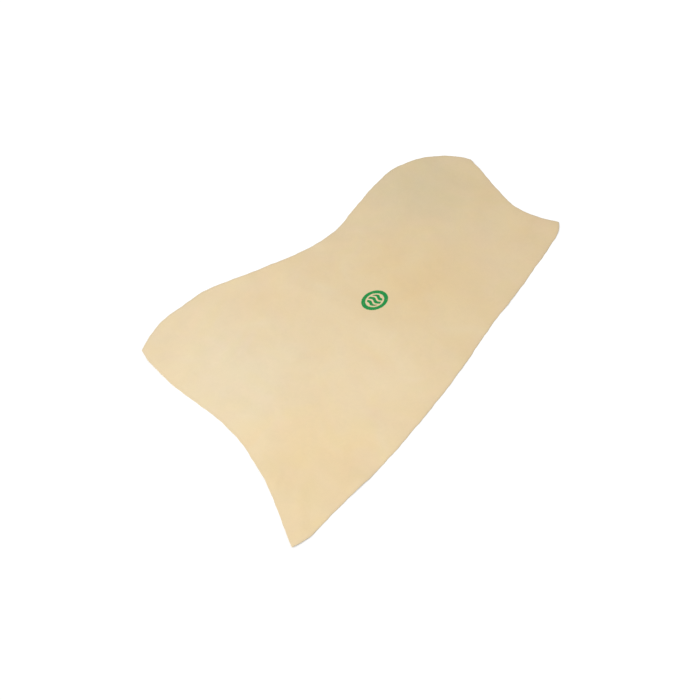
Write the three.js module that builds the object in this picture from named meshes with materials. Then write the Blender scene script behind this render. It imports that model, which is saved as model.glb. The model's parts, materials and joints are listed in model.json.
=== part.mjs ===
// A chamois leather: one soft oil-tanned sheepskin, trimmed to the natural outline of the hide and laid flat.
// It is one piece of leather that folds in half across its length, along the crease it was stored with.
// So it is built as two halves, hind and fore, that meet at that fold line.
// Millimetres, +Z up. +Y runs from the hind end to the neck end, and the underside lies at Z 0.
import * as THREE from "three";

// The leather, and the fold line across it
const THICKNESS = 1.2;
const FOLD_Y = -30;
const FOLD_CLEARANCE = 0.3;

// The four tips of the skin, as [x, y] seen from above
const HIND_LEFT_TIP = [-211, -320];
const HIND_RIGHT_TIP = [234, -430];
const NECK_LEFT_TIP = [-107, 426];
const NECK_RIGHT_TIP = [121, 393];
const TIPS = [HIND_LEFT_TIP, HIND_RIGHT_TIP, NECK_LEFT_TIP, NECK_RIGHT_TIP];

// The points that each edge runs through between its two tips
const HIND_EDGE = [
  [-180, -329],
  [-105, -336],
  [-30, -335],
  [35, -342],
  [87, -358],
  [144, -381],
  [188, -405],
];
const NECK_EDGE = [
  [-75, 416],
  [-24, 396],
  [20, 380],
  [60, 375],
  [98, 385],
];
const LEFT_EDGE = [
  [-231, -277],
  [-238, -240],
  [-237, -196],
  [-235, -152],
  [-215, -94],
  [-190, -20],
  [-176, 32],
  [-168, 100],
  [-183, 176],
  [-197, 245],
  [-202, 310],
  [-182, 365],
  [-151, 407],
];
const RIGHT_EDGE = [
  [240, -402],
  [237, -330],
  [237, -270],
  [234, -215],
  [222, -105],
  [213, -42],
  [204, 10],
  [182, 118],
  [172, 190],
  [157, 270],
  [146, 328],
  [134, 374],
];

// How the skin lies: its stretched edges ripple, its tips curl and the old crease stands up a little
const RIPPLE_HEIGHT = 2.4;
const RIPPLE_LENGTH = 150;
const RIPPLE_REACH = 60;
const SWELL_LENGTH = 260;
const TIP_CURL_HEIGHT = 3;
const TIP_CURL_REACH = 60;
const CREASE_HEIGHT = 1;
const CREASE_HIND_REACH = 70;
const CREASE_FORE_REACH = 34;

// How finely the leather is faceted
const COLUMNS = 15;
const HIND_ROWS = 15;
const FORE_ROWS = 19;
const OUTLINE_STEPS_PER_EDGE = 80;
const CROSSING_STEPS = 40;

const LEATHER_COLOUR = 0xe8d3ab;
const LEATHER_ROUGHNESS = 0.95;

const { clamp, lerp, smoothstep } = THREE.MathUtils;

// A smooth edge of the skin through its points, from one tip to another
function edgeCurve(start, points, end) {
  const through = [start, ...points, end].map(([x, y]) => new THREE.Vector3(x, y, 0));
  return new THREE.CatmullRomCurve3(through, false, "centripetal");
}

const hindEdge = edgeCurve(HIND_LEFT_TIP, HIND_EDGE, HIND_RIGHT_TIP);
const neckEdge = edgeCurve(NECK_LEFT_TIP, NECK_EDGE, NECK_RIGHT_TIP);
const leftEdge = edgeCurve(HIND_LEFT_TIP, LEFT_EDGE, NECK_LEFT_TIP);
const rightEdge = edgeCurve(HIND_RIGHT_TIP, RIGHT_EDGE, NECK_RIGHT_TIP);

// The share of a side edge's length at which it crosses a line of constant y
function crossing(edge, y) {
  let low = 0;
  let high = 1;
  for (let step = 0; step < CROSSING_STEPS; step += 1) {
    const middle = (low + high) / 2;
    if (edge.getPointAt(middle).y < y) low = middle;
    else high = middle;
  }
  return (low + high) / 2;
}

// One stretch of an edge, as a function of the share of the way along it
function stretch(edge, from, to) {
  return (share) => edge.getPointAt(lerp(from, to, share));
}

// The straight cut across the skin at one side of the fold line, from left to right
function foldCut(y) {
  const left = leftEdge.getPointAt(crossing(leftEdge, y));
  const right = rightEdge.getPointAt(crossing(rightEdge, y));
  return (share) => left.clone().lerp(right, share);
}

// The whole outline as a closed run of points, with the distance along it at each point
function outlineRun() {
  const steps = OUTLINE_STEPS_PER_EDGE;
  const sides = [
    stretch(hindEdge, 0, 1),
    stretch(rightEdge, 0, 1),
    stretch(neckEdge, 1, 0),
    stretch(leftEdge, 1, 0),
  ];
  const points = sides.flatMap((side) => Array.from({ length: steps }, (_, i) => side(i / steps)));
  points.push(points[0].clone());
  const along = [0];
  for (let i = 1; i < points.length; i += 1) {
    along.push(along[i - 1] + points[i].distanceTo(points[i - 1]));
  }
  return { points, along, length: along[along.length - 1] };
}

const outline = outlineRun();

// How far a point of the skin is from the edge, and how far round the outline the nearest edge lies
function nearestEdge(point) {
  const best = { distance: Infinity, along: 0 };
  const nearest = new THREE.Vector3();
  for (let i = 1; i < outline.points.length; i += 1) {
    const segment = new THREE.Line3(outline.points[i - 1], outline.points[i]);
    const share = segment.closestPointToPointParameter(point, true);
    const distance = segment.at(share, nearest).distanceTo(point);
    if (distance < best.distance) {
      best.distance = distance;
      best.along = lerp(outline.along[i - 1], outline.along[i], share);
    }
  }
  return best;
}

// A soft fall from 1 at no distance to 0 at the reach
function fall(distance, reach) {
  return 1 - smoothstep(distance, 0, reach);
}

// A wave round the outline with a whole number of crests about one length apart
function waveRound(along, length) {
  const crests = Math.max(1, Math.round(outline.length / length));
  return Math.sin((2 * Math.PI * crests * along) / outline.length);
}

// How far the underside stands off the table at a point of the skin
function lift(point) {
  const edge = nearestEdge(point);
  const wave = (waveRound(edge.along, RIPPLE_LENGTH) + waveRound(edge.along, SWELL_LENGTH)) / 2;
  const ripple = RIPPLE_HEIGHT * clamp(wave, 0, 1) ** 2 * fall(edge.distance, RIPPLE_REACH);
  const toTip = Math.min(...TIPS.map(([x, y]) => Math.hypot(point.x - x, point.y - y)));
  const curl = TIP_CURL_HEIGHT * fall(toTip, TIP_CURL_REACH);
  const creaseReach = point.y > FOLD_Y ? CREASE_FORE_REACH : CREASE_HIND_REACH;
  const crease = CREASE_HEIGHT * fall(Math.abs(point.y - FOLD_Y), creaseReach);
  return Math.hypot(ripple, curl, crease);
}

// A point inside four sides: near and far run left to right, left and right run from near to far
function insideSides({ near, far, left, right }, across, up) {
  const ends = near(across).multiplyScalar(1 - up).add(far(across).multiplyScalar(up));
  const sides = left(up).multiplyScalar(1 - across).add(right(up).multiplyScalar(across));
  const nearCorners = near(0).lerp(near(1), across);
  const farCorners = far(0).lerp(far(1), across);
  return ends.add(sides).sub(nearCorners.lerp(farCorners, up));
}

// One half of the skin: a sheet of even thickness over a grid of points between its four sides
function leatherGeometry(sides, rows) {
  const stride = COLUMNS + 1;
  const layer = stride * (rows + 1);
  const bottom = [];
  const top = [];
  for (let row = 0; row <= rows; row += 1) {
    for (let column = 0; column <= COLUMNS; column += 1) {
      const point = insideSides(sides, column / COLUMNS, row / rows);
      const height = lift(point);
      bottom.push(point.x, point.y, height);
      top.push(point.x, point.y, height + THICKNESS);
    }
  }
  const faces = [];
  const quad = (a, b, c, d) => faces.push(a, b, c, a, c, d);
  for (let row = 0; row < rows; row += 1) {
    for (let column = 0; column < COLUMNS; column += 1) {
      const corner = row * stride + column;
      const ring = [corner, corner + 1, corner + stride + 1, corner + stride];
      quad(...ring.map((index) => index + layer));
      quad(...ring.reverse());
    }
  }
  const wall = (a, b) => quad(a, b, b + layer, a + layer);
  for (let column = 0; column < COLUMNS; column += 1) {
    wall(column, column + 1);
    wall(rows * stride + column + 1, rows * stride + column);
  }
  for (let row = 0; row < rows; row += 1) {
    wall((row + 1) * stride, row * stride);
    wall(row * stride + COLUMNS, (row + 1) * stride + COLUMNS);
  }
  const geometry = new THREE.BufferGeometry();
  geometry.setAttribute("position", new THREE.Float32BufferAttribute([...bottom, ...top], 3));
  geometry.setIndex(faces);
  geometry.computeVertexNormals();
  return geometry;
}

function leather(name, sides, rows) {
  const material = new THREE.MeshStandardMaterial({
    color: LEATHER_COLOUR,
    roughness: LEATHER_ROUGHNESS,
    metalness: 0,
  });
  const mesh = new THREE.Mesh(leatherGeometry(sides, rows), material);
  mesh.name = name;
  return mesh;
}

// The wide half, from the hind edge to the fold
function hindHalf() {
  const y = FOLD_Y - FOLD_CLEARANCE / 2;
  const sides = {
    near: stretch(hindEdge, 0, 1),
    far: foldCut(y),
    left: stretch(leftEdge, 0, crossing(leftEdge, y)),
    right: stretch(rightEdge, 0, crossing(rightEdge, y)),
  };
  return leather("hind_half", sides, HIND_ROWS);
}

// The narrower half, from the fold to the neck edge
function foreHalf() {
  const y = FOLD_Y + FOLD_CLEARANCE / 2;
  const sides = {
    near: foldCut(y),
    far: stretch(neckEdge, 0, 1),
    left: stretch(leftEdge, crossing(leftEdge, y), 1),
    right: stretch(rightEdge, crossing(rightEdge, y), 1),
  };
  return leather("fore_half", sides, FORE_ROWS);
}

const chamois = new THREE.Group();
chamois.name = "chamois_leather";
chamois.add(hindHalf(), foreHalf());

export default chamois;
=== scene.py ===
"""A chamois leather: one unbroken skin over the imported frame, with its nap, its colour and an ink mark."""

import json
import math
from collections import namedtuple

import bmesh
import bpy
import numpy as np
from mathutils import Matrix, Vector, noise


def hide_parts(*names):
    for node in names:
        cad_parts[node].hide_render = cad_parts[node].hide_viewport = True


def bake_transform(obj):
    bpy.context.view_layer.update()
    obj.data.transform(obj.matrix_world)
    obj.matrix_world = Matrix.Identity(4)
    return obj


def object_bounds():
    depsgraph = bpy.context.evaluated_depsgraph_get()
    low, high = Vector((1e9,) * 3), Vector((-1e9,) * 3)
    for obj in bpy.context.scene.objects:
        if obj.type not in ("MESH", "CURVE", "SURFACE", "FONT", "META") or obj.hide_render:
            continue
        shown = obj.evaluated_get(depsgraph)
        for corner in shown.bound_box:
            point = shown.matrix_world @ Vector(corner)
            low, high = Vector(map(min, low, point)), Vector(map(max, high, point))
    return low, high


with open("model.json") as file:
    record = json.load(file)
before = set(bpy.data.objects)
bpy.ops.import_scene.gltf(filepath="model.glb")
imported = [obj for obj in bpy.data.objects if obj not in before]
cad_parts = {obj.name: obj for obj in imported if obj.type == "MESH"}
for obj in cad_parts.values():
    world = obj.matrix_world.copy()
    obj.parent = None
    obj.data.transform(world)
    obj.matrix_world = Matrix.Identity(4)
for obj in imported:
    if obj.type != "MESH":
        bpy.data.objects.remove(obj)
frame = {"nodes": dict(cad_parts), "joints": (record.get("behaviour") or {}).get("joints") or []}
cad_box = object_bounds()

# The skin in metres, with the band that bends at its fold, and the spacing of its points
THICKNESS = 0.0012
FOLD_Y = frame["joints"][0]["pos_m"][1]
FOLD_BAND = 0.004
COLUMNS = 120
ROW_SPACING = 0.0036
BAND_ROW_SPACING = 0.0003
RIM_STEPS = 4

# How its outline is read from the frame: a top face's slope, the weld, and the turn that makes a corner
FACES_UP = 0.5
WELD = 1e-5
CORNER_TURN = math.radians(30)

# The hand-trimmed edge: how far each of its waves wanders and the wave's length, and each edge's phase
EDGE_WANDER = ((0.00030, 0.071), (0.00022, 0.033), (0.00015, 0.019))
EDGE_WANDER_FADE = 0.012
EDGE_PHASE = {"left": 1, "right": 2, "hind": 3, "neck": 4}

# How the skin lies: rippled edges, curled tips, the old crease and a faint unevenness
RIPPLE_HEIGHT = 0.0024
RIPPLE_LENGTH = 0.150
RIPPLE_REACH = 0.060
SWELL_LENGTH = 0.260
TIP_CURL_HEIGHT = 0.003
TIP_CURL_REACH = 0.060
CREASE_HEIGHT = 0.0014
CREASE_HIND_REACH = 0.075
CREASE_FORE_REACH = 0.085
CREASE_ROUNDING = 0.004
CREASE_WOBBLE = 0.010
CREASE_WOBBLE_LENGTH = 0.260
CREASE_WOBBLE_START = -0.055
CREASE_FADE = 0.85
CREASE_FADE_START = 0.045
CREASE_FADE_REACH = 0.08
UNEVEN_HEIGHT = 0.0003
UNEVEN_LENGTH = 0.055
UNEVEN_OCTAVES = 3
UNEVEN_OCTAVE_STEP = 2
UNEVEN_OCTAVE_FALL = 1
# Two small ridges near the hind edge: start, end, height and reach
RIDGES = (
    ((0.129, -0.344), (0.142, -0.371), 0.0005, 0.008),
    ((0.177, -0.351), (0.222, -0.398), 0.0007, 0.016),
)

# Stored in the mesh for its material: places on the flat skin, the underside's shifted clear, and nearness to
# the edge for its painted shade
FLAT_MAP = "flat"
UNDERSIDE_SHIFT = 1.0
EDGE_SHADE_SHARE = "edge_shade_share"

# The leather's colour, linear: cooler at the hind left tip, warmer towards the neck's right
COOL_TONE = (0.800, 0.649, 0.422)
WARM_TONE = (0.800, 0.627, 0.377)
TONE_SLOPE = math.radians(32)
TONE_REACH = 0.33
# The underside is a little paler, and painted shade darkens the cut edge and a thin band of the faces beside
# it
UNDERSIDE_TINT = (1.02, 1.03, 1.07)
EDGE_SHADE_TONE = (0.56, 0.46, 0.31)
EDGE_SHADE_STRENGTH = 0.35
EDGE_SHADE_REACH = 0.0018

# Textures in the leather: lump size in metres, octaves, distortion, and how far each shades and raises it
Texture = namedtuple("Texture", "size detail distortion shade height", defaults=(0.0, 0.0))
NOISE_MIDDLE = 0.5
CLOUDS = Texture(0.060, 3, 0.3, 0.08)
BRUSHING = Texture(0.012, 3, 1.2, 0.045, 0.8)
NAP = Texture(0.0011, 2, 0.0, 0.05, 1.0)
FIBRES = Texture(0.0004, 2, 0.5, 0.09, 0.7)
RELIEF_STRENGTH = 0.5
RELIEF_DEPTH = 0.00025
# Mottling from warm to cool and from pink to green: the texture it follows, and the tints at its two ends
MOTTLING = (
    (Texture(0.050, 3, 0.6), (1.00, 0.995, 0.92), (1.00, 1.005, 1.08)),
    (Texture(0.056, 3, 0.5), (1.02, 0.985, 1.00), (0.98, 1.015, 1.00)),
)
# Patches where the skin took the oil differently: centre, reach and tint
PATCHES = (
    ((0.000, 0.100), 0.180, (1.01, 0.98, 0.91)),
    ((-0.170, -0.060), 0.150, (1.01, 0.985, 0.955)),
    ((-0.050, -0.245), 0.160, (0.995, 1.03, 1.08)),
    ((0.110, -0.090), 0.150, (1.03, 1.045, 1.08)),
    ((0.185, -0.360), 0.150, (0.96, 0.95, 0.92)),
    ((0.120, -0.280), 0.130, (1.01, 0.99, 0.94)),
    ((-0.135, 0.310), 0.160, (0.93, 0.96, 0.97)),
    ((0.100, 0.270), 0.120, (1.02, 1.02, 1.05)),
)
PATCH_EDGES = Texture(0.070, 3, 0.6)
PATCH_WARP = 0.05

# The finish: matt and dry, with the faint bloom of the nap
ROUGHNESS = 0.82
CLOUD_ROUGHNESS = 0.16
SPECULAR = 0.1
BLOOM = 0.15
BLOOM_ROUGHNESS = 0.6
BLOOM_TINT = (1.0, 0.94, 0.84, 1.0)

# The ink mark's oval, with its ring, the reach of its bars and its feather as shares of the radius
MARK_CENTRE = (-0.001, 0.023)
MARK_HALF_WIDTH = 0.0205
MARK_HALF_HEIGHT = 0.0262
MARK_RING = 0.70
MARK_BARS = 0.57
MARK_FEATHER = 0.02
# Its wavy bars, with their width and feather as shares of the pitch
MARK_BAR_PITCH = 0.0100
MARK_BAR_SHARE = 0.64
MARK_BAR_FEATHER = 0.03
MARK_WAVE_HEIGHT = 0.0019
MARK_WAVE_LENGTH = 0.0170
HALF_PITCH = 0.5
# Its ink, ragged where it soaked in and thinner where the nap took less of it
MARK_EDGES = Texture(0.0012, 2, 0.0)
MARK_RAGGED = 0.10
INK = (0.001, 0.275, 0.055)
INK_PATCH = Texture(0.004, 4, 0.0, 0.7)
INK_LEAST = 0.70

# The photograph's view
VIEW_TARGET = (0.0429, -0.0898, 0.0012)
VIEW_AZIMUTH = math.radians(41.7)
VIEW_ELEVATION = math.radians(48.5)
VIEW_DISTANCE = 1.9785
VIEW_LENS = 61.7

# Light and floor, where a floor brightness of 1 is white
WHITE = (1, 1, 1, 1)
WORLD_LIGHT = 0.5
KEY_PLACE = (0.1, -1.75, 2.0)
KEY_SIZE = 1.4
KEY_POWER = 48
FLOOR_SIZE = 100
FLOOR_DROP = 0.0001
FLOOR_TONE = 0.6
FLOOR_BRIGHTNESS = 1.09


# The outline, taken from the frame


def top_outline(node):
    """The outline of one CAD half from above, as a closed anticlockwise loop of points."""
    bm = bmesh.new()
    bm.from_mesh(frame["nodes"][node].data)
    bmesh.ops.remove_doubles(bm, verts=bm.verts, dist=WELD)
    hidden = [face for face in bm.faces if face.normal.z < FACES_UP]
    bmesh.ops.delete(bm, geom=hidden, context="FACES")
    loops = [loop for edge in bm.edges if edge.is_boundary for loop in edge.link_loops]
    following = {loop.vert: loop.link_loop_next.vert for loop in loops}
    walk = [loops[0].vert]
    while following[walk[-1]] is not walk[0]:
        walk.append(following[walk[-1]])
    points = np.array([vert.co[:2] for vert in walk])
    bm.free()
    return points


def four_sides(loop):
    """A half's outline cut at its four corners, as runs of points in the loop's order."""
    ahead = np.roll(loop, -1, axis=0) - loop
    heading = np.arctan2(ahead[:, 1], ahead[:, 0])
    turn = (heading - np.roll(heading, 1) + math.pi) % (2 * math.pi) - math.pi
    corners = np.flatnonzero(np.abs(turn) > CORNER_TURN)
    loop = np.roll(loop, -corners[0], axis=0)
    ends = [*(corners - corners[0]), len(loop)]
    closed = np.vstack([loop, loop[:1]])
    return [closed[first : last + 1] for first, last in zip(ends[:-1], ends[1:])]


def sides_of(node):
    """A half's end edge from left to right, and its left and right edges from hind to neck."""
    def from_fold(run):
        return np.abs(run[:, 1] - FOLD_Y)

    runs = sorted(four_sides(top_outline(node)), key=lambda run: from_fold(run).max())
    # The first run lies along the fold
    cut_edges = runs[1:]
    end = max(cut_edges, key=lambda run: from_fold(run).min())
    left, right = sorted((run for run in cut_edges if run is not end), key=lambda run: run[:, 0].mean())
    end = end if end[0, 0] < end[-1, 0] else end[::-1]
    left, right = (run if run[0, 1] < run[-1, 1] else run[::-1] for run in (left, right))
    return end, left, right


def distances(points):
    """The distance along a run of points, at each point."""
    steps = np.linalg.norm(np.diff(points, axis=0), axis=1)
    return np.concatenate([[0], np.cumsum(steps)])


def leftward(headings):
    """Unit vectors to the left of these headings."""
    ahead = headings / np.linalg.norm(headings, axis=1)[:, None]
    return np.column_stack([-ahead[:, 1], ahead[:, 0]])


def smooth_run(points, shares):
    """Points at these shares of the way along a smooth curve through a run of points."""
    along = distances(points)
    slopes = np.gradient(points, along, axis=0, edge_order=2)
    place = np.asarray(shares) * along[-1]
    first = np.clip(np.searchsorted(along, place, side="right") - 1, 0, len(points) - 2)
    length = (along[first + 1] - along[first])[:, None]
    t = (place - along[first])[:, None] / length
    ahead = t * t * (3 - 2 * t)
    leaving = t * (1 - t) ** 2 * length
    arriving = t * t * (t - 1) * length
    ends = points[first] * (1 - ahead) + points[first + 1] * ahead
    return ends + slopes[first] * leaving + slopes[first + 1] * arriving


def trimmed(points, phase):
    """An edge with the small wander of a hand-cut one, which fades out at its two tips."""
    along = distances(points)
    wander = sum(
        height * np.sin(2 * math.pi * along / length + phase * number)
        for number, (height, length) in enumerate(EDGE_WANDER, start=1)
    )
    fade = np.clip(np.minimum(along, along[-1] - along) / EDGE_WANDER_FADE, 0, 1)
    sideways = leftward(np.gradient(points, along, axis=0))
    return points + sideways * (wander * fade)[:, None]


# The skin's grid of points


def row_shares(length, dense_at_end):
    """Rows from one end of a half to the other, closer together in the band that bends at the fold."""
    half_band = FOLD_BAND / 2
    dense = np.arange(0, half_band + BAND_ROW_SPACING, BAND_ROW_SPACING)
    count = math.ceil((length - dense[-1]) / ROW_SPACING)
    sparse = np.linspace(dense[-1], length, count + 1)[1:]
    shares = np.concatenate([dense, sparse]) / length
    return 1 - shares[::-1] if dense_at_end else shares


def patch(near, far, left, right, rows):
    """A grid of points inside four edges: near and far run left to right, left and right run near to far."""
    across = np.linspace(0, 1, len(near))[None, :, None]
    up = np.asarray(rows)[:, None, None]
    ends = near[None] * (1 - up) + far[None] * up
    sides = left[:, None] * (1 - across) + right[:, None] * across
    near_corners = near[0] * (1 - across) + near[-1] * across
    far_corners = far[0] * (1 - across) + far[-1] * across
    return ends + sides - near_corners * (1 - up) - far_corners * up


def joined_side(hind_run, fore_run):
    """One side edge from its hind tip to its neck tip, and the share of it that lies before the fold."""
    crossing = (hind_run[-1] + fore_run[0]) / 2
    run = np.vstack([hind_run[:-1], [crossing], fore_run[1:]])
    along = distances(run)
    return run, along[len(hind_run) - 1] / along[-1]


def skin_grid():
    """The skin's points seen from above, in rows from the hind edge to the neck edge."""
    hind_end, hind_left, hind_right = sides_of("hind_half")
    neck_end, neck_left, neck_right = sides_of("fore_half")
    hind_rows = row_shares(FOLD_Y - cad_box[0].y, dense_at_end=True)
    fore_rows = row_shares(cad_box[1].y - FOLD_Y, dense_at_end=False)
    columns = np.linspace(0, 1, COLUMNS + 1)

    def side(hind_run, neck_run, phase):
        run, fold = joined_side(hind_run, neck_run)
        shares = np.concatenate([hind_rows * fold, fold + fore_rows[1:] * (1 - fold)])
        return trimmed(smooth_run(run, shares), phase)

    left = side(hind_left, neck_left, EDGE_PHASE["left"])
    right = side(hind_right, neck_right, EDGE_PHASE["right"])
    hind = trimmed(smooth_run(hind_end, columns), EDGE_PHASE["hind"])
    neck = trimmed(smooth_run(neck_end, columns), EDGE_PHASE["neck"])
    row = len(hind_rows) - 1
    fold_line = left[row] + (right[row] - left[row]) * columns[:, None]
    hind_half = patch(hind, fold_line, left[: row + 1], right[: row + 1], hind_rows)
    fore_half = patch(fold_line, neck, left[row:], right[row:], fore_rows)
    return np.concatenate([hind_half, fore_half[1:]])


def rim_places(rows, columns):
    """The rows and columns of the grid's edge points, anticlockwise from the hind left tip."""
    hind = [(0, column) for column in range(columns)]
    right = [(row, columns - 1) for row in range(1, rows)]
    neck = [(rows - 1, column) for column in range(columns - 2, -1, -1)]
    left = [(row, 0) for row in range(rows - 2, 0, -1)]
    return tuple(np.transpose(hind + right + neck + left))


# How it lies


def fall(distance, reach):
    """A soft fall from 1 at no distance to 0 at the reach."""
    t = np.clip(distance / reach, 0, 1)
    return 1 - t * t * (3 - 2 * t)


def nearest_edge(points, outline):
    """How far each point is from the outline, how far round that place lies, and the whole way round."""
    step = np.roll(outline, -1, axis=0) - outline
    along = distances(np.vstack([outline, outline[:1]]))
    offset = points[:, None] - outline[None]
    share = np.clip((offset * step).sum(2) / (step * step).sum(1), 0, 1)
    gap = np.linalg.norm(offset - share[..., None] * step, axis=2)
    best = gap.argmin(1)
    pick = np.arange(len(points)), best
    return gap[pick], along[best] + share[pick] * np.diff(along)[best], along[-1]


def wave_round(along, whole, length):
    """A wave round the outline with a whole number of crests about one length apart."""
    crests = max(1, round(whole / length))
    return np.sin(2 * math.pi * crests * along / whole)


def crease_lift(points):
    """The old fold's soft tent: its flanks steepen to a rounded crest, and it fades towards the right."""
    x, y = points.T
    wobble = np.sin(2 * math.pi * (x - CREASE_WOBBLE_START) / CREASE_WOBBLE_LENGTH)
    past_crest = y - FOLD_Y - CREASE_WOBBLE * wobble
    reach = np.where(past_crest > 0, CREASE_FORE_REACH, CREASE_HIND_REACH)
    away = np.hypot(past_crest, CREASE_ROUNDING) - CREASE_ROUNDING
    fading = 1 - CREASE_FADE * (1 - fall(x - CREASE_FADE_START, CREASE_FADE_REACH))
    return CREASE_HEIGHT * fading * np.clip(1 - away / reach, 0, 1) ** 2


def ridge_lift(points):
    """The small ridges, each soft on all sides of its line."""
    height = np.zeros(len(points))
    for start, end, top, reach in RIDGES:
        line = np.subtract(end, start)
        share = np.clip((points - start) @ line / (line @ line), 0, 1)
        gap = np.linalg.norm(points - start - share[:, None] * line, axis=1)
        height += top * fall(gap, reach)
    return height


def uneven_lift(points):
    """The faint low humps of a skin that never lies quite flat."""
    places = [Vector((x, y, 0)) / UNEVEN_LENGTH for x, y in points]
    octaves = UNEVEN_OCTAVE_FALL, UNEVEN_OCTAVE_STEP, UNEVEN_OCTAVES
    humps = [noise.fractal(place, *octaves) for place in places]
    return UNEVEN_HEIGHT * np.clip(humps, 0, 1) ** 2


def lift(points, outline, tips):
    """How far the underside stands off the table at each point, and how far each point is from the edge."""
    distance, along, whole = nearest_edge(points, outline)
    wave = (wave_round(along, whole, RIPPLE_LENGTH) + wave_round(along, whole, SWELL_LENGTH)) / 2
    ripple = RIPPLE_HEIGHT * np.clip(wave, 0, 1) ** 2 * fall(distance, RIPPLE_REACH)
    to_tip = np.linalg.norm(points[:, None] - tips[None], axis=2).min(1)
    curl = TIP_CURL_HEIGHT * fall(to_tip, TIP_CURL_REACH)
    main = np.sqrt(ripple**2 + curl**2 + crease_lift(points) ** 2)
    return main + ridge_lift(points) + uneven_lift(points), distance


# The skin's mesh


def rim_points(outline, inset, heights):
    """The rounded cut edge, as rings of points from the top face round to the underside."""
    radius = THICKNESS / 2
    outward = (outline - inset) / radius
    rings = []
    for step in range(1, RIM_STEPS):
        angle = math.pi / 2 - math.pi * step / RIM_STEPS
        place = inset + outward * (radius * math.cos(angle))
        height = heights + radius * (1 + math.sin(angle))
        rings.append(np.column_stack([place, height]))
    return rings


def quads(a, b, c, d):
    """Faces from four matching lists of corners."""
    return np.column_stack([np.ravel(corner) for corner in (a, b, c, d)])


def skin_faces(rows, columns, rim):
    """Faces of the top, the cut edge and the underside, over points in the order top, underside, rings."""
    layer = rows * columns
    top = np.arange(layer).reshape(rows, columns)
    corners = top[:-1, :-1], top[:-1, 1:], top[1:, 1:], top[1:, :-1]
    edge = top[rim]
    rings = [2 * layer + ring * len(edge) + np.arange(len(edge)) for ring in range(RIM_STEPS - 1)]
    bands = [edge, *rings, edge + layer]
    cut_edge = [
        quads(lower, np.roll(lower, -1), np.roll(upper, -1), upper)
        for upper, lower in zip(bands[:-1], bands[1:])
    ]
    return quads(*corners), np.vstack(cut_edge), quads(*corners[::-1]) + layer


def store_flat_places(mesh, points, faces):
    """Each face corner's place on the flat skin, with the underside's shifted clear of the top's."""
    corners = np.vstack(faces).ravel()
    places = points[corners, :2]
    underside = faces[-1]
    places[-underside.size :] += UNDERSIDE_SHIFT
    stored = mesh.uv_layers.new(name=FLAT_MAP)
    stored.data.foreach_set("uv", places.astype(np.float32).ravel())


def store_edge_shade_shares(mesh, from_edge):
    """Each point's nearness to the cut edge, from 1 on it to 0 well inside, which sets the painted shade
    along the edge.
    """
    face = np.exp(-from_edge.ravel() / EDGE_SHADE_REACH)
    cut_edge = np.ones(len(mesh.vertices) - 2 * len(face))
    shares = np.concatenate([face, face, cut_edge])
    stored = mesh.attributes.new(EDGE_SHADE_SHARE, "FLOAT", "POINT")
    stored.data.foreach_set("value", shares.astype(np.float32))


def skin_mesh():
    """The skin as one closed mesh, and its outline from above."""
    grid = skin_grid()
    rows, columns = grid.shape[:2]
    rim = rim_places(rows, columns)
    outline = grid[rim]
    tips = np.array([grid[row, column] for row in (0, -1) for column in (0, -1)])
    inward = leftward(np.roll(outline, -1, axis=0) - np.roll(outline, 1, axis=0))
    inset = outline + inward * THICKNESS / 2
    grid[rim] = inset

    lifted = [lift(points, outline, tips) for points in grid]
    heights, from_edge = (np.array(values) for values in zip(*lifted))
    under = np.column_stack([grid.reshape(-1, 2), heights.ravel()])
    top = under + (0, 0, THICKNESS)
    points = np.vstack([top, under, *rim_points(outline, inset, heights[rim])])
    faces = skin_faces(rows, columns, rim)

    mesh = bpy.data.meshes.new("chamois_skin")
    mesh.from_pydata(points.tolist(), [], np.vstack(faces).tolist())
    mesh.shade_smooth()
    store_flat_places(mesh, points, faces)
    store_edge_shade_shares(mesh, from_edge)
    return mesh, outline


# Materials


class Shader:
    """A material's node tree, with short calls for the nodes that it uses."""

    def __init__(self, owner):
        owner.use_nodes = True
        self.tree = owner.node_tree
        self.tree.nodes.clear()

    def node(self, kind, inputs=(), **settings):
        made = self.tree.nodes.new("ShaderNode" + kind)
        for name, value in settings.items():
            setattr(made, name, value)
        for name, value in dict(inputs).items():
            if isinstance(value, bpy.types.NodeSocket):
                self.tree.links.new(value, made.inputs[name])
            else:
                made.inputs[name].default_value = value
        return made

    def math(self, operation, *values):
        return self.node("Math", enumerate(values), operation=operation).outputs[0]

    def between(self, value, low, high):
        """A soft step from 0 at low to 1 at high."""
        limits = {"Value": value, "From Min": low, "From Max": high}
        return self.node("MapRange", limits, interpolation_type="SMOOTHSTEP").outputs["Result"]

    def texture(self, place, texture):
        """Noise from 0 to 1, with lumps of the texture's size."""
        settings = {"Vector": place, "Scale": 1 / texture.size}
        settings |= {"Detail": texture.detail, "Distortion": texture.distortion}
        return self.node("TexNoise", settings, noise_dimensions="2D").outputs["Fac"]

    def swing(self, place, texture, width):
        """Noise to both sides of zero, over a width."""
        about_zero = self.math("SUBTRACT", self.texture(place, texture), NOISE_MIDDLE)
        return self.math("MULTIPLY", about_zero, width)

    def vector(self, operation, first, second):
        """A vector difference, or the one number that a product or a distance gives."""
        made = self.node("VectorMath", {0: first, 1: second}, operation=operation)
        return next(socket for socket in made.outputs if socket.enabled)

    def mix(self, share, first, second, blend="MIX"):
        made = self.node("Mix", data_type="RGBA", blend_type=blend)
        sockets = {"Factor_Float": share, "A_Color": first, "B_Color": second}
        for socket in made.inputs:
            value = sockets.get(socket.identifier)
            if isinstance(value, bpy.types.NodeSocket):
                self.tree.links.new(value, socket)
            elif value is not None:
                socket.default_value = (*value, 1) if isinstance(value, tuple) else value
        return next(socket for socket in made.outputs if socket.identifier == "Result_Color")

    def scaled(self, colour, by):
        made = self.node("VectorMath", {"Vector": colour, "Scale": by}, operation="SCALE")
        return made.outputs["Vector"]

    def finish(self, shader, kind="Material"):
        self.node("Output" + kind, {"Surface": shader})


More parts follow.
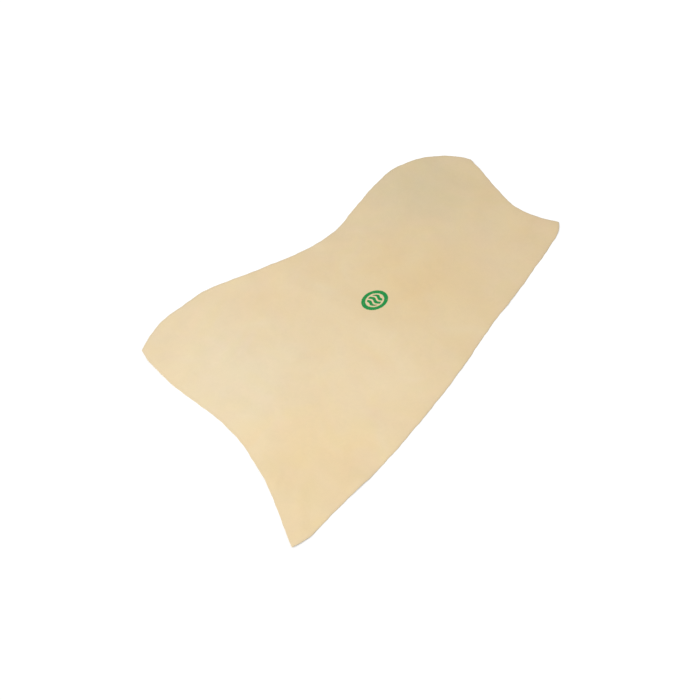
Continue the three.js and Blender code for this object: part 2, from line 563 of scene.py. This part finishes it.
def ink_share(nodes, place, x, y):
    """How much ink the mark has at each place: a ring round wavy bars, a little ragged where it soaked in."""
    right = nodes.math("SUBTRACT", x, MARK_CENTRE[0])
    up = nodes.math("SUBTRACT", y, MARK_CENTRE[1])
    ragged = nodes.swing(place, MARK_EDGES, MARK_RAGGED)
    across = nodes.math("DIVIDE", right, MARK_HALF_WIDTH)
    along = nodes.math("DIVIDE", up, MARK_HALF_HEIGHT)
    square = nodes.math("MULTIPLY_ADD", across, across, nodes.math("MULTIPLY", along, along))
    radius = nodes.math("ADD", nodes.math("SQRT", square), ragged)
    outside = nodes.between(radius, 1 + MARK_FEATHER, 1 - MARK_FEATHER)
    inside = nodes.between(radius, MARK_RING - MARK_FEATHER, MARK_RING + MARK_FEATHER)
    ring = nodes.math("MULTIPLY", outside, inside)
    wave = nodes.math("SINE", nodes.math("MULTIPLY", right, 2 * math.pi / MARK_WAVE_LENGTH))
    level = nodes.math("MULTIPLY_ADD", wave, MARK_WAVE_HEIGHT, up)
    pitches = nodes.math("MULTIPLY_ADD", level, 1 / MARK_BAR_PITCH, ragged)
    from_bar = nodes.math("PINGPONG", pitches, HALF_PITCH)
    half_bar = MARK_BAR_SHARE / 2
    bars = nodes.between(from_bar, half_bar + MARK_BAR_FEATHER, half_bar - MARK_BAR_FEATHER)
    held = nodes.between(radius, MARK_BARS + MARK_FEATHER, MARK_BARS - MARK_FEATHER)
    bars = nodes.math("MULTIPLY", bars, held)
    strength = nodes.math("MULTIPLY_ADD", nodes.texture(place, INK_PATCH), INK_PATCH.shade, INK_LEAST)
    return nodes.math("MULTIPLY", nodes.math("MAXIMUM", ring, bars), strength)


def leather_tone(nodes, place, x, y):
    """The leather's colour before its nap: its slow change, patches, mottling, underside, and painted shade
    at the cut edge.
    """
    sloped = nodes.math("MULTIPLY", y, math.sin(TONE_SLOPE))
    sloped = nodes.math("MULTIPLY_ADD", x, math.cos(TONE_SLOPE), sloped)
    tone = nodes.mix(nodes.between(sloped, -TONE_REACH, TONE_REACH), COOL_TONE, WARM_TONE)
    warp = nodes.swing(place, PATCH_EDGES, PATCH_WARP)
    for centre, reach, tint in PATCHES:
        gap = nodes.vector("DISTANCE", place, (*centre, 0))
        share = nodes.between(nodes.math("ADD", gap, warp), reach, 0.0)
        tone = nodes.mix(share, tone, tint, "MULTIPLY")
    for texture, low, high in MOTTLING:
        tint = nodes.mix(nodes.texture(place, texture), low, high)
        tone = nodes.mix(1.0, tone, tint, "MULTIPLY")
    underside = nodes.math("GREATER_THAN", x, UNDERSIDE_SHIFT / 2)
    tone = nodes.mix(underside, tone, UNDERSIDE_TINT, "MULTIPLY")
    # Painted shade: darkest on the cut edge, fading within a few millimetres of it on the top and underside
    edge = nodes.node("Attribute", attribute_name=EDGE_SHADE_SHARE).outputs["Fac"]
    return nodes.mix(nodes.math("MULTIPLY", edge, EDGE_SHADE_STRENGTH), tone, EDGE_SHADE_TONE)


def leather_material():
    """Pale oil-tanned leather: soft mottling, a short nap, a faint bloom and the ink mark."""
    material = bpy.data.materials.new("chamois_leather")
    nodes = Shader(material)
    place = nodes.node("UVMap", uv_map=FLAT_MAP).outputs["UV"]
    axes = nodes.node("SeparateXYZ", {"Vector": place}).outputs
    tone = leather_tone(nodes, place, axes["X"], axes["Y"])
    looks = {texture: nodes.texture(place, texture) for texture in (CLOUDS, BRUSHING, NAP, FIBRES)}
    shade = 1 - NOISE_MIDDLE * sum(texture.shade for texture in looks)
    height = 0.0
    for texture, look in looks.items():
        shade = nodes.math("MULTIPLY_ADD", look, texture.shade, shade)
        height = nodes.math("MULTIPLY_ADD", look, texture.height, height)
    tone = nodes.scaled(tone, shade)
    tone = nodes.mix(ink_share(nodes, place, axes["X"], axes["Y"]), tone, INK)
    relief = {"Strength": RELIEF_STRENGTH, "Distance": RELIEF_DEPTH, "Height": height}
    surface = nodes.node("BsdfPrincipled", {
        "Base Color": tone,
        "Roughness": nodes.math("MULTIPLY_ADD", looks[CLOUDS], CLOUD_ROUGHNESS, ROUGHNESS),
        "Normal": nodes.node("Bump", relief).outputs["Normal"],
        "Specular IOR Level": SPECULAR,
        "Sheen Weight": BLOOM,
        "Sheen Roughness": BLOOM_ROUGHNESS,
        "Sheen Tint": BLOOM_TINT,
    })
    nodes.finish(surface.outputs["BSDF"])
    return material


# The skin, and the stage that it lies on


def add_skin():
    """The skin stands for both CAD halves, which it hides, with its rows set close together at the fold."""
    mesh, outline = skin_mesh()
    skin = bpy.data.objects.new("chamois_skin", mesh)
    bpy.context.scene.collection.objects.link(skin)
    mesh.materials.append(leather_material())
    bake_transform(skin)
    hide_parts("fore_half", "hind_half")


def seen_directly(nodes):
    """1 where the camera, a reflection or a view through glass meets the surface, and 0 for other light."""
    path = nodes.node("LightPath").outputs
    seen = nodes.math("MAXIMUM", path["Is Camera Ray"], path["Is Glossy Ray"])
    return nodes.math("MAXIMUM", seen, path["Is Transmission Ray"])


def key_light(nodes):
    """The key lamp's light on an open place of the floor, where 1 shows a colour as it is written."""
    from_lamp = nodes.vector("SUBTRACT", nodes.node("NewGeometry").outputs["Position"], KEY_PLACE)
    ahead = nodes.vector("DOT_PRODUCT", from_lamp, -Vector(KEY_PLACE).normalized())
    square = nodes.vector("DOT_PRODUCT", from_lamp, from_lamp)
    # The inverse square of the distance, and one more square for the two slants, at the lamp and at the floor
    thinning = nodes.math("MULTIPLY", square, square)
    facing = nodes.math("DIVIDE", nodes.math("MAXIMUM", ahead, 0.0), thinning)
    return nodes.math("MULTIPLY", facing, KEY_POWER * KEY_PLACE[2] / math.pi**2)


def add_floor():
    """A plain floor that keeps the skin's shadow, lit up to white all over however far the lamp is."""
    bpy.ops.mesh.primitive_plane_add(size=FLOOR_SIZE, location=(0, 0, -FLOOR_DROP))
    floor = bpy.context.object
    floor.name = "floor"
    material = bpy.data.materials.new("floor_white")
    nodes = Shader(material)
    tone = (FLOOR_TONE, FLOOR_TONE, FLOOR_TONE, 1)
    diffuse = nodes.node("BsdfDiffuse", {"Color": tone}).outputs["BSDF"]
    short_of_white = FLOOR_BRIGHTNESS - FLOOR_TONE * WORLD_LIGHT
    glow = nodes.math("MULTIPLY_ADD", key_light(nodes), -FLOOR_TONE, short_of_white)
    glow = nodes.math("MULTIPLY", nodes.math("MAXIMUM", glow, 0.0), seen_directly(nodes))
    glow = nodes.node("Emission", {"Strength": glow}).outputs["Emission"]
    both = nodes.node("AddShader", {0: diffuse, 1: glow}).outputs["Shader"]
    nodes.finish(both)
    floor.data.materials.append(material)


def add_world():
    """Even white light from all round, and a white background."""
    world = bpy.data.worlds.new("studio")
    nodes = Shader(world)
    strength = nodes.math("MULTIPLY_ADD", seen_directly(nodes), 1 - WORLD_LIGHT, WORLD_LIGHT)
    back = nodes.node("Background", {"Color": WHITE, "Strength": strength})
    nodes.finish(back.outputs["Background"], kind="World")
    bpy.context.scene.world = world


def add_aimed(name, data, place, ahead):
    """A lamp or a camera at a place, looking straight ahead."""
    made = bpy.data.objects.new(name, data)
    made.location = place
    made.rotation_euler = ahead.to_track_quat("-Z", "Y").to_euler()
    bpy.context.scene.collection.objects.link(made)
    return made


def add_key():
    """One large soft lamp over the hind end."""
    lamp = bpy.data.lights.new("key", "AREA")
    lamp.size = KEY_SIZE
    lamp.energy = KEY_POWER
    add_aimed("key", lamp, KEY_PLACE, -Vector(KEY_PLACE))


def add_camera():
    """The photograph's view of the skin."""
    lens = bpy.data.cameras.new("camera")
    lens.lens = VIEW_LENS
    level = math.cos(VIEW_ELEVATION)
    right = math.sin(VIEW_AZIMUTH) * level
    behind = math.cos(VIEW_AZIMUTH) * level
    back = Vector((right, -behind, math.sin(VIEW_ELEVATION)))
    place = Vector(VIEW_TARGET) + back * VIEW_DISTANCE
    bpy.context.scene.camera = add_aimed("camera", lens, place, -back)


bpy.context.scene.view_settings.view_transform = "Standard"
add_camera()
add_world()
add_key()
add_floor()
add_skin()
